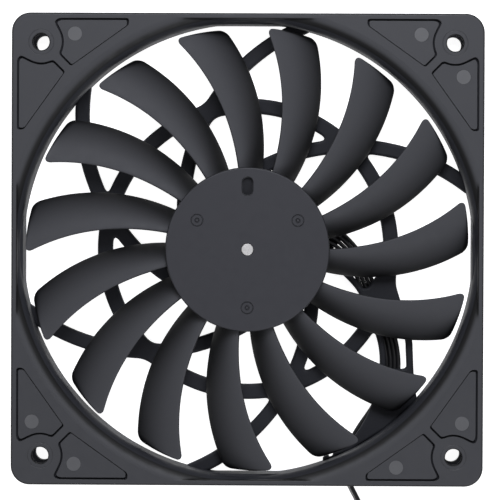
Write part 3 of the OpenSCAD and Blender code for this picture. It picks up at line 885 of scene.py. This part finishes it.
def outlines_of(field, half, cell, spacing):
    """Closed outlines where a distance field is zero, evenly spaced, by marching squares."""
    axis = np.arange(-half, half + cell, cell)
    x, y = np.meshgrid(axis, axis, indexing="ij")
    value = field(np.c_[x.ravel(), y.ravel()]).reshape(x.shape)
    inside = value < 0
    mixed = np.zeros_like(inside)
    count = inside[:-1, :-1].astype(int) + inside[1:, :-1] + inside[1:, 1:] + inside[:-1, 1:]
    mixed[:-1, :-1] = (count > 0) & (count < 4)
    following = {}
    for i, j in zip(*np.nonzero(mixed)):
        corners = [(i, j), (i + 1, j), (i + 1, j + 1), (i, j + 1)]
        signs = [inside[c] for c in corners]
        for k in range(4):
            if signs[k] and not signs[(k + 1) % 4]:
                m = next((k + s) % 4 for s in (1, 2, 3)
                         if not signs[(k + s) % 4] and signs[(k + s + 1) % 4])
                start = tuple(sorted((corners[k], corners[(k + 1) % 4])))
                following[start] = tuple(sorted((corners[m], corners[(m + 1) % 4])))
    loops = []
    while following:
        start = min(following)
        chain = [start]
        key = following.pop(start)
        while key != start:
            chain.append(key)
            key = following.pop(key)
        points = []
        for a, b in chain:
            share = value[a] / (value[a] - value[b])
            points.append([axis[a[0]] + share * (axis[b[0]] - axis[a[0]]),
                           axis[a[1]] + share * (axis[b[1]] - axis[a[1]])])
        loops.append(settled(field, respaced(np.array(points), spacing)))
    return loops


def respaced(loop, spacing):
    closed = np.vstack([loop, loop[:1]])
    run = np.r_[0, np.cumsum(np.linalg.norm(np.diff(closed, axis=0), axis=1))]
    count = max(8, int(round(run[-1] / spacing)))
    at = np.arange(count) * run[-1] / count
    return np.c_[np.interp(at, run, closed[:, 0]), np.interp(at, run, closed[:, 1])]


def settled(field, loop):
    """Pulls an outline's points onto the field's zero line."""
    for _ in range(3):
        loop = loop - field(loop)[:, None] * slope_of(field, loop) * 0.9
    return loop


def make_web(m):
    """The struts, their ring and the lead's strut, with filleted joints and rounded edges."""
    loops = outlines_of(web_field, 60, 0.3, 0.5)
    outer = max(range(len(loops)), key=lambda k: abs(area_of(loops[k])))
    levels = [(i, STRUT_H - d) for i, d in round_edge(0.7, 4)]
    levels += reversed(round_edge(0.45, 3))
    shell = Shell()
    tops, lows = [], []
    for loop in loops:
        normal = slope_of(web_field, loop)
        for _ in range(2):
            normal = (normal + np.roll(normal, 1, 0) + np.roll(normal, -1, 0)) / 3
        normal = unit(normal)
        rings = [shell.ring(loop - normal * inset, z) for inset, z in levels]
        shell.bands(rings)
        tops.append(rings[0])
        lows.append(rings[-1])
    for ends in (tops, lows):
        shell.cap(ends[outer], [ring for k, ring in enumerate(ends) if k != outer])
    # The struts get a darker copy of the housing's plastic: painted shade for the blades' shadow over them
    piece = shell.build("strut_lattice", "housing", [m["painted_shade_plastic"]], ["strut_web"])
    tunnel = band_outline(smooth_path([p[:2] for p in INNER_ROUTE], 3), TUNNEL_W)
    carve(piece, prism(tunnel, -1, TUNNEL_H))


# ---------- impeller ----------

# Where the blades' edges start at the hub: the radius, and angle in degrees, growth and power
EDGE_FROM_R = 20.66
UPPER_EDGE = (24.56, 0.0574, 1.51)
LOWER_EDGE = (8.1, 0.1228, 1.363)


def edge_angle(edge, radius):
    start, growth, power = edge
    return math.radians(start + growth * max(0, radius - EDGE_FROM_R) ** power)


def blade_section(radius, count=44):
    """A closed section of a blade at one radius: a cambered profile with round edges."""
    past_tip = max(0, radius - TIP_R + TIP_ROUND) / TIP_ROUND
    inset = TIP_ROUND * (1 - math.sqrt(max(0, 1 - past_tip ** 2))) / radius
    a0 = edge_angle(UPPER_EDGE, radius) - inset
    a1 = edge_angle(LOWER_EDGE, radius) + inset
    share = (radius - HUB_R) / (TIP_R - HUB_R)
    full = (BLADE_ROOT_T + (BLADE_TIP_T - BLADE_ROOT_T) * share) / 2
    half = full * math.sqrt(max(0.02, 1 - max(0, (radius - TIP_R + 0.5) / 0.52) ** 2))
    drop = BLADE_TOP - BLADE_LOW
    run = radius * (a1 - a0)
    points = []
    for f in np.arange(count) * 2 * math.pi / count:
        t = (1 - math.cos(f)) / 2
        across = Vector((-drop * (0.5 + t), -run)).normalized()
        off = half * math.copysign(abs(math.sin(f)) ** 0.6, math.sin(f))
        a = a0 + (a1 - a0) * t + off * across[0] / radius
        z = BLADE_TOP - full - (drop - 2 * full) * t * (0.5 + 0.5 * t) + off * across[1]
        points.append((radius * math.cos(a), radius * math.sin(a), z))
    return np.array(points)


def make_blades(m):
    radii = list(np.linspace(HUB_R - 0.4, TIP_R - TIP_ROUND, 34))
    radii += [TIP_R - TIP_ROUND * (1 - s) for s in (0.2, 0.38, 0.54, 0.68, 0.8, 0.89, 0.95, 0.985, 1)]
    sections = [blade_section(r) for r in radii]
    shell = Shell()
    for n in range(BLADES):
        a = 2 * math.pi * n / BLADES
        turn = np.array([[math.cos(a), math.sin(a), 0], [-math.sin(a), math.cos(a), 0], [0, 0, 1]])
        shell.rod([shell.ring3(s @ turn) for s in sections])
    shell.build("impeller_blade_set", "rotor", [m["impeller_plastic"]],
                ["impeller_blades"], sharp=60)


GATE_R = 14.8
KEY_AT = 16.06


def make_hub(m):
    shell = Shell()
    steps = [(HUB_R - i, HUB_TOP - d) for i, d in round_edge(0.4, 5)]
    steps += [(HUB_R, 9), (HUB_R, HUB_LOW + 0.2), (HUB_R - 0.2, HUB_LOW), (CUP_R + 0.15, HUB_LOW),
              (CUP_R, HUB_LOW + 0.15), (CUP_R, CUP_TOP)]
    outside = shell.circles(steps, 200)
    shell.bands(outside)
    bore = shell.circles([(SHAFT_R + 0.14, HUB_TOP), (SHAFT_R + 0.03, HUB_TOP - 0.12),
                          (SHAFT_R + 0.01, HUB_TOP - 0.3), (SHAFT_R + 0.01, CUP_TOP)], 48)
    shell.bands(bore)
    holes = [bore[0]]
    for a in np.radians([30, 150, 270]):
        place = (GATE_R * math.cos(a), GATE_R * math.sin(a))
        rims = shell.circles([(1.64, HUB_TOP), (1.56, HUB_TOP - 0.22), (1.42, HUB_TOP - 0.22),
                              (1.34, HUB_TOP - 0.05)], 40, place)
        nub = shell.circles([(0.66, HUB_TOP - 0.05), (0.58, HUB_TOP - 0.25), (0.42, HUB_TOP - 0.25),
                             (0.3, HUB_TOP - 0.02), (0.12, HUB_TOP)], 24, place)
        shell.bands(rims)
        shell.bands(nub)
        shell.cap(rims[-1], [nub[0]])
        shell.fan(nub[-1])
        holes.append(rims[0])
    key = box_outline((-1.45, KEY_AT - 2.45), (1.45, KEY_AT + 2.45), 1.4, 10)
    slot = shell.pushed(key, [(r, HUB_TOP - d) for r, d in
                              ((0.1, 0), (0.02, 0.04), (0, 0.14), (-0.06, 1.0), (-0.2, 1.08))])
    shell.bands(slot)
    # The slot's floor has the cup's second material, a darker plastic: painted shade
    shell.cap(slot[-1], paint=1)
    holes.append(slot[0])
    shell.cap(outside[0], holes)
    shell.cap(outside[-1], [bore[-1]])
    shell.build("impeller_hub_cup", "rotor",
                [m["hub_plastic"], m["painted_deep_shade_plastic"]], ["impeller_hub"])


def make_shaft(m):
    """The shaft with its eased ends and the groove that the retaining clip sits in."""
    shell = Shell()
    shell.rod(shell.circles(
        [(SHAFT_R - 0.12, HUB_TOP), (SHAFT_R - 0.03, HUB_TOP - 0.05), (SHAFT_R, HUB_TOP - 0.14),
         (SHAFT_R, 1.33), (1.2, 1.33), (1.2, 0.92), (SHAFT_R, 0.92), (SHAFT_R, 0.72),
         (SHAFT_R - 0.12, 0.6)], 64))
    shell.build("rotor_shaft", "rotor", [m["shaft_steel"]], ["shaft"])


# ---------- motor base ----------

def make_base(m):
    """The dish that carries the motor, with its tube hole, label recess and the wires' notch."""
    shell = Shell()
    profile = [(4.9, 1.6), (5.0, 1.6), (19.0, 1.6), (19.2, 1.8), (19.2, 3.45), (19.35, 3.6),
               (20.4, 3.6), (20.6, 3.4), (20.6, 0.4), (20.48, 0.12), (20.2, 0), (15.35, 0), (15.2, 0.12),
               (15.2, 0.3), (5.0, 0.3), (4.9, 0.3)]
    rings = shell.circles(profile, 180)
    shell.bands(rings + rings[:1])
    piece = shell.build("motor_dish", "housing", [m["housing_plastic"]], ["motor_base"])
    notch = np.array([(17, -1.5), (23, -1.5), (23, 8.3), (17, 8.3)], float)
    carve(piece, prism(notch, 1.7, 4.7))


def make_tongue(m):
    """The tongue beside the dish that the wires lie on."""
    shell = Shell()
    rings = shell.pushed(filleted([(x, y, 0.4) for x, y in TONGUE], 4),
                         [(-0.25, 0), (0, 0.2), (0, TONGUE_T - 0.3), (-0.1, TONGUE_T - 0.08),
                          (-0.3, TONGUE_T)])
    shell.bands(rings)
    shell.cap(rings[0])
    shell.cap(rings[-1])
    # A darker copy of the housing's plastic: painted shade
    shell.build("wire_tongue", "housing", [m["painted_shade_plastic"]], ["motor_base"])


# ---------- lead ----------

# Pitch above which the wires lie loose, and how far apart and up they then stray
LOOSE_PITCH = 1.16
LOOSE_SPREAD = 1.05
LOOSE_LIFT = 0.12
LOOSE_DRIFT = 0.15


def frames_along(path):
    """Level sideways directions and upward directions along a path."""
    along = unit(np.gradient(path, axis=0))
    side = unit(np.c_[-along[:, 1], along[:, 0], np.zeros(len(path))])
    return side, np.cross(along, side)


def sweep(shell, path, section, twists, shifts=0.0):
    """Sweeps a closed (across, up) section along a path, turned by twists in degrees."""
    side, up = frames_along(path)
    shifts = np.broadcast_to(shifts, len(path))
    rings = []
    for k, place in enumerate(path):
        c, s = math.cos(math.radians(twists[k])), math.sin(math.radians(twists[k]))
        a, b = section[:, 0] + shifts[k], section[:, 1]
        across, rise = a * c - b * s, a * s + b * c
        rings.append(shell.ring3(place + across[:, None] * side[k] + rise[:, None] * up[k]))
    shell.rod(rings)


def make_inner_wires(m):
    route = smooth_path(INNER_ROUTE, 8)
    shell = Shell()
    section = circle_loop(WIRE_D / 2 * 0.99, 16)
    over = route[:, 3] - LOOSE_PITCH
    pitch = np.minimum(route[:, 3], WIRE_D) + np.maximum(over, 0) * LOOSE_SPREAD
    loose = np.clip(over / 0.1, 0, 1)
    for w in range(WIRES):
        lane = w - (WIRES - 1) / 2
        lift = np.sin(np.linspace(0, 9, len(route)) + 2.1 * w) * LOOSE_LIFT * loose
        drift = loose * (LOOSE_DRIFT if 0 < w < WIRES - 1 else 0)
        path = route[:, :3] + np.c_[np.zeros((len(route), 2)), lift]
        sweep(shell, path, section, route[:, 4], lane * pitch + drift)
    shell.build("lead_wires_held", "housing", [m["wire_insulation"]], ["lead_wires"])


def ribbon_section():
    """Outline of four round cores side by side, with webs in the valleys between them."""
    points = []
    for side in (1, -1):
        for w in range(WIRES):
            lane = side * ((WIRES - 1) / 2 - w) * WIRE_D
            turns = np.radians(np.linspace(22, 158, 9))
            if w == 0:
                turns = np.radians(np.linspace(-90, 158, 16))
            if w == WIRES - 1:
                turns = turns[:-1]
            reach = side * WIRE_D / 2
            points += [(lane + reach * math.cos(a), reach * math.sin(a)) for a in turns]
    return np.array(points)


def lead_path():
    """The free lead's centreline and twists: out of the housing, round the coil and to the plug."""
    out = np.array(FREE_ROUTE, float)
    steps = int(COIL_TURNS * 24)
    turned = np.arange(1, steps) / 24
    angle = np.radians(COIL_START - 360 * turned)
    radius = COIL_FIRST_R - COIL_PITCH * turned
    coil = np.c_[COIL_CENTRE[0] + radius * np.cos(angle), COIL_CENTRE[1] + radius * np.sin(angle),
                 np.full(len(turned), COIL_Z)]
    tail = np.array(TAIL_ROUTE, float) + [COIL_CENTRE[0], COIL_CENTRE[1], 0]
    twists = np.r_[np.clip(76 + 2 * np.arange(len(out)), 82, 90), np.full(len(coil), 90), TAIL_TWIST]
    route = np.c_[np.vstack([out, coil, tail]), twists]
    made = smooth_path(route, 4)
    return made[:, :3], made[:, 3]


def make_ribbon(m):
    path, twists = lead_path()
    shell = Shell()
    sweep(shell, path, ribbon_section(), twists)
    piece = shell.build("lead_ribbon", "housing", [m["wire_insulation"]],
                        ["lead_cord", "lead_coil", "lead_tail"], sharp=50)
    return piece, path * MM


def make_tie(m):
    """A narrow tie round the coil's strands."""
    half = 1.3
    shell = Shell()
    rings = shell.pushed(box_outline((COIL_IN_R - 0.08, 0.45), (COIL_OUT_R + 0.08, 5.08), 0.9, 6),
                         [(0.42, 0.1 - half), (0.42, half - 0.1), (0.34, half), (0.06, half),
                          (0, half - 0.1), (0, 0.1 - half), (0.06, -half), (0.34, -half)])
    shell.bands(rings + rings[:1])
    # Drawn as a (distance from the coil's centre, height) outline, and set on the coil's far side
    shell.points = [(COIL_CENTRE[0] - r, COIL_CENTRE[1] + t, z) for r, z, t in shell.points]
    return shell.build("coil_cable_tie", "housing", [m["tie_plastic"]], ["coil_tie"])


def make_plug(m):
    """A four-way fan connector: ribbed body, four sockets at the mating end, windows above."""
    length, width, height = PLUG_SIZE
    body_top = height - 0.9
    half = width / 2
    outline = filleted([(-half, 0, 0.35), (half, 0, 0.35), (half, body_top, 0.35), (3.2, body_top, 0.1),
                        (3.2, height, 0.3), (1.2, height, 0.3), (1.2, body_top, 0.1),
                        (-1.2, body_top, 0.1), (-1.2, height, 0.3), (-3.2, height, 0.3),
                        (-3.2, body_top, 0.1), (-half, body_top, 0.35)], 4)
    shell = Shell()
    rings = shell.pushed(outline, [(-0.22, 0), (-0.06, 0.07), (0, 0.25), (0, length - 0.25),
                                   (-0.06, length - 0.07), (-0.22, length)])
    shell.bands(rings)
    lanes = [(k - (WIRES - 1) / 2) * PIN_PITCH for k in range(WIRES)]
    sockets, wire_holes = [], []
    for lane in lanes:
        mouth = box_outline((lane - 0.85, 1.3), (lane + 0.85, 3.9), 0.15, 2)
        back = box_outline((lane - 0.75, 1.5), (lane + 0.75, 3.7), 0.3, 2)
        for outline, steps, ends in ((mouth, [(0.12, length), (0, length - 0.15), (0, length - 9)], sockets),
                                     (back, [(0, 0), (0, 3)], wire_holes)):
            hollow = shell.pushed(outline, steps)
            shell.bands(hollow)
            shell.fan(hollow[-1])
            ends.append(hollow[0])
    shell.cap(rings[-1], sockets)
    shell.cap(rings[0], wire_holes)
    # Drawn as (y, z) outlines: their heights become distances along x
    shell.points = [(PLUG_AT[0] + x, PLUG_AT[1] + y, z) for y, z, x in shell.points]
    piece = shell.build("plug_housing", "housing", [m["connector_plastic"]],
                        ["connector_housing"])
    for lane in lanes:
        window = box_outline((PLUG_AT[0] + 4.2, PLUG_AT[1] + lane - 0.6),
                             (PLUG_AT[0] + 7.4, PLUG_AT[1] + lane + 0.6), 0.2, 3)
        carve(piece, prism(window, 3.0, height + 1))
    return piece


# ---------- carried-over CAD nodes ----------

def dress_nodes(m):
    """Gives each CAD node that stays visible the finish that its material slot names."""
    for name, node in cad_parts.items():
        if node.hide_render:
            continue
        slots = node.material_slots
        for k in range(len(slots)):
            slots[k].material = m[slot_name(slots[k].material)]


def main():
    make_camera()
    make_world()
    make_light("overhead", (0.02, 0.31, 0.42), (0, 0.03, 0), 1.65)
    make_light("window", (0.28, -0.52, 0.42), (0, 0, 0), 1.3)
    make_floor()
    make_backdrop()
    bpy.context.scene.view_settings.view_transform = "Standard"
    m = make_materials()
    ribbon, path = make_ribbon(m)
    tie = make_tie(m)
    plug = make_plug(m)
    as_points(path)
    make_housing(m)
    make_web(m)
    make_base(m)
    make_tongue(m)
    make_blades(m)
    make_hub(m)
    make_shaft(m)
    make_inner_wires(m)
    dress_nodes(m)


main()
